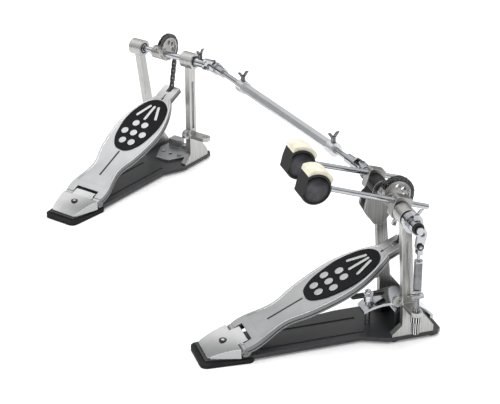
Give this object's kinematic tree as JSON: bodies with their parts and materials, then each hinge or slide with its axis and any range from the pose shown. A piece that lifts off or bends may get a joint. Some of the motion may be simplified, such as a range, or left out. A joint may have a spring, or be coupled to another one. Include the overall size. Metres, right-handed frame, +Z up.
{
  "type": "double bass drum pedal",
  "caption": "Chain-driven twin bass drum pedal: main pedal with both beaters and hoop clamp, second pedal joined by a telescoping shaft with universal joints.",
  "frame": {"origin": "on the floor straight under the main axle, midway between the main pedal's post feet", "axes": "+X to the player's right along the main axle, +Y towards the drum, +Z up"},
  "size_m": [0.825, 0.4576, 0.286],
  "materials": {
    "black_coat": "satin black powder coat",
    "black_rubber": "moulded black rubber",
    "polished_steel": "brushed steel",
    "bright_screw": "bright plated steel",
    "cast_board": "satin cast aluminium",
    "cast_post": "cast aluminium",
    "bearing_steel": "bearing steel with dark seals",
    "axle_chrome": "chromed steel",
    "chain_black": "black chain steel",
    "grip_rubber": "fine black rubber",
    "beater_plastic": "moulded black plastic",
    "beater_felt": "pressed felt",
    "spring_steel": "plated spring wire",
    "drive_tube": "satin silver tube",
    "grey_plate": "grey cast plate"
  },
  "bodies": {
    "main_frame": {"main_base_plate": "black_coat", "main_rubber_feet": "black_rubber", "main_heel_plate": "polished_steel", "main_heel_screw": "bright_screw", "main_hinge_pin": "bright_screw", "main_left_post": "cast_post", "main_right_post": "cast_post", "main_bearings": "bearing_steel", "main_hoop_bracket": "black_coat", "spring_rod": "spring_steel", "return_spring": "spring_steel"},
    "main_axle": {"main_axle": "axle_chrome", "main_cam": "cast_post", "main_cam_screw": "bright_screw", "main_chain_wrap": "chain_black", "right_beater_hub": "cast_post", "right_beater_screw": "bright_screw", "spring_rocker": "cast_post"},
    "main_board": {"main_footboard": "cast_board", "main_grip_pad": "grip_rubber"},
    "main_strand": {"main_chain_strand": "chain_black"},
    "spring_hook": {"spring_hook": "bright_screw"},
    "rocker_screw": {"rocker_wing_screw": "bright_screw"},
    "tension_nuts": {"tension_nuts": "bright_screw"},
    "t_bolt": {"main_t_bolt": "black_coat"},
    "hoop_jaw": {"main_hoop_jaw": "axle_chrome"},
    "right_rod": {"right_beater_rod": "axle_chrome"},
    "right_head": {"right_beater_head": "beater_plastic", "right_beater_felt": "beater_felt"},
    "left_shaft": {"left_shaft": "axle_chrome", "left_beater_hub": "cast_post", "left_beater_screw": "bright_screw"},
    "left_rod": {"left_beater_rod": "axle_chrome"},
    "left_head": {"left_beater_head": "beater_plastic", "left_beater_felt": "beater_felt"},
    "main_cross": {"main_joint_cross": "bearing_steel"},
    "drive_tube": {"drive_rod_main": "axle_chrome", "drive_tube": "drive_tube"},
    "tube_screw_main": {"tube_wing_screw_main": "black_coat"},
    "tube_screw_second": {"tube_wing_screw_second": "black_coat"},
    "second_frame": {"second_base_plate": "black_coat", "second_rubber_feet": "black_rubber", "second_heel_plate": "polished_steel", "second_heel_screw": "bright_screw", "second_hinge_pin": "bright_screw", "second_left_post": "cast_post", "second_right_post": "cast_post", "second_bearings": "bearing_steel", "second_front_plate": "grey_plate"},
    "second_axle": {"second_axle": "axle_chrome", "second_cam": "cast_post", "second_cam_screw": "bright_screw", "second_chain_wrap": "chain_black", "second_axle_yoke": "axle_chrome"},
    "yoke_screw": {"yoke_wing_screw": "black_coat"},
    "second_board": {"second_footboard": "cast_board", "second_grip_pad": "grip_rubber"},
    "second_strand": {"second_chain_strand": "chain_black"},
    "second_cross": {"second_joint_cross": "bearing_steel"},
    "second_rod": {"drive_rod_second": "axle_chrome"}
  },
  "joints": [
    {"name": "main_stroke", "type": "hinge", "parent": "main_frame", "child": "main_axle", "pos_m": [0, 0, 0.204], "axis": [1, 0, 0], "range_deg": [-66, 0], "stiffness_Nm_per_rad": 1.2, "springref_deg": 20.05, "deforming": ["return_spring"]},
    {"name": "main_board", "type": "hinge", "parent": "main_frame", "child": "main_board", "pos_m": [0, -0.22, 0.018], "axis": [1, 0, 0], "range_deg": [-8.5, 0.5]},
    {"name": "main_strand", "type": "hinge", "parent": "main_axle", "child": "main_strand", "pos_m": [0, 0.03202, 0.20525], "axis": [1, 0, 0], "range_deg": [-1, 89]},
    {"name": "spring_hook", "type": "hinge", "parent": "main_axle", "child": "spring_hook", "pos_m": [0.074, 0.014, 0.164], "axis": [1, 0, 0], "range_deg": [-1, 101]},
    {"name": "rocker_screw", "type": "hinge", "parent": "main_axle", "child": "rocker_screw", "pos_m": [0.0915, 0, 0.204], "axis": [0, 0, 1], "continuous": true},
    {"name": "tension_nuts", "type": "hinge", "parent": "main_frame", "child": "tension_nuts", "pos_m": [0.074, 0.014, 0.05], "axis": [0, 0, 1], "continuous": true},
    {"name": "t_bolt", "type": "hinge", "parent": "hoop_jaw", "child": "t_bolt", "pos_m": [0, -0.028, 0.03], "axis": [0, 0, 1], "range_deg": [-1140, 0]},
    {"name": "hoop_jaw", "type": "hinge", "parent": "main_frame", "child": "hoop_jaw", "pos_m": [0, 0.01, 0.034], "axis": [1, 0, 0], "range_deg": [-6.2, 0.2]},
    {"name": "right_rod", "type": "slide", "parent": "main_axle", "child": "right_rod", "axis": [0, -0.9461, 0.3239], "range_m": [-0.015, 0.015]},
    {"name": "right_head", "type": "hinge", "parent": "right_rod", "child": "right_head", "pos_m": [0.034, -0.12675, 0.25797], "axis": [0, -0.9461, 0.3239], "continuous": true},
    {"name": "left_stroke", "type": "hinge", "parent": "main_frame", "child": "left_shaft", "pos_m": [-0.061, 0, 0.204], "axis": [1, 0, 0], "range_deg": [-66, 0]},
    {"name": "left_rod", "type": "slide", "parent": "left_shaft", "child": "left_rod", "axis": [0, -0.9537, 0.3007], "range_m": [-0.015, 0.015]},
    {"name": "left_head", "type": "hinge", "parent": "left_rod", "child": "left_head", "pos_m": [-0.061, -0.11468, 0.25064], "axis": [0, -0.9537, 0.3007], "continuous": true},
    {"name": "main_cross", "type": "hinge", "parent": "left_shaft", "child": "main_cross", "pos_m": [-0.104, 0, 0.204], "axis": [0, 0, 1], "range_deg": [-7, 1]},
    {"name": "drive_tube", "type": "hinge", "parent": "main_frame", "child": "drive_tube", "pos_m": [-0.104, 0, 0.204], "axis": [0.9824, 0.1869, 0], "range_deg": [-66, 0.5]},
    {"name": "tube_screw_main", "type": "hinge", "parent": "drive_tube", "child": "tube_screw_main", "pos_m": [-0.18259, -0.01495, 0.204], "axis": [0, 0, 1], "continuous": true},
    {"name": "tube_screw_second", "type": "hinge", "parent": "drive_tube", "child": "tube_screw_second", "pos_m": [-0.4567, -0.06711, 0.204], "axis": [0, 0, 1], "continuous": true},
    {"name": "shaft_length", "type": "slide", "parent": "main_frame", "child": "second_frame", "axis": [-0.9824, -0.1869, 0], "range_m": [-0.05, 0.04]},
    {"name": "second_stroke", "type": "hinge", "parent": "second_frame", "child": "second_axle", "pos_m": [-0.6435, -0.1487, 0.204], "axis": [0.806, 0.5919, 0], "range_deg": [-69, 0.5]},
    {"name": "yoke_screw", "type": "hinge", "parent": "second_axle", "child": "yoke_screw", "pos_m": [-0.58103, -0.10283, 0.204], "axis": [0, 0, 1], "continuous": true},
    {"name": "second_board", "type": "hinge", "parent": "second_frame", "child": "second_board", "pos_m": [-0.51329, -0.32603, 0.018], "axis": [0.806, 0.5919, 0], "range_deg": [-8.8, 0.5]},
    {"name": "second_strand", "type": "hinge", "parent": "second_axle", "child": "second_strand", "pos_m": [-0.66246, -0.12289, 0.20525], "axis": [0.806, 0.5919, 0], "range_deg": [-1, 92]},
    {"name": "second_cross", "type": "hinge", "parent": "second_axle", "child": "second_cross", "pos_m": [-0.55887, -0.08655, 0.204], "axis": [0, 0, 1], "range_deg": [-1, 13]},
    {"name": "second_rod", "type": "hinge", "parent": "second_frame", "child": "second_rod", "pos_m": [-0.55887, -0.08655, 0.204], "axis": [0.9824, 0.1869, 0], "range_deg": [-66, 0.5]}
  ],
  "couplings": [
    {"joint": "main_board", "follows": "main_stroke", "ratio": 0.11864},
    {"joint": "main_strand", "follows": "main_stroke", "ratio": -1.3227},
    {"joint": "spring_hook", "follows": "main_stroke", "ratio": -1.5},
    {"joint": "hoop_jaw", "follows": "t_bolt", "ratio": 0.00524},
    {"joint": "main_cross", "follows": "left_stroke", "ratio": 0.0817},
    {"joint": "drive_tube", "follows": "left_stroke", "ratio": 0.993},
    {"joint": "second_stroke", "follows": "left_stroke", "ratio": 1.04},
    {"joint": "second_board", "follows": "left_stroke", "ratio": 0.12339},
    {"joint": "second_strand", "follows": "left_stroke", "ratio": -1.3757},
    {"joint": "second_cross", "follows": "left_stroke", "ratio": -0.1805},
    {"joint": "second_rod", "follows": "left_stroke", "ratio": 0.993}
  ]
}
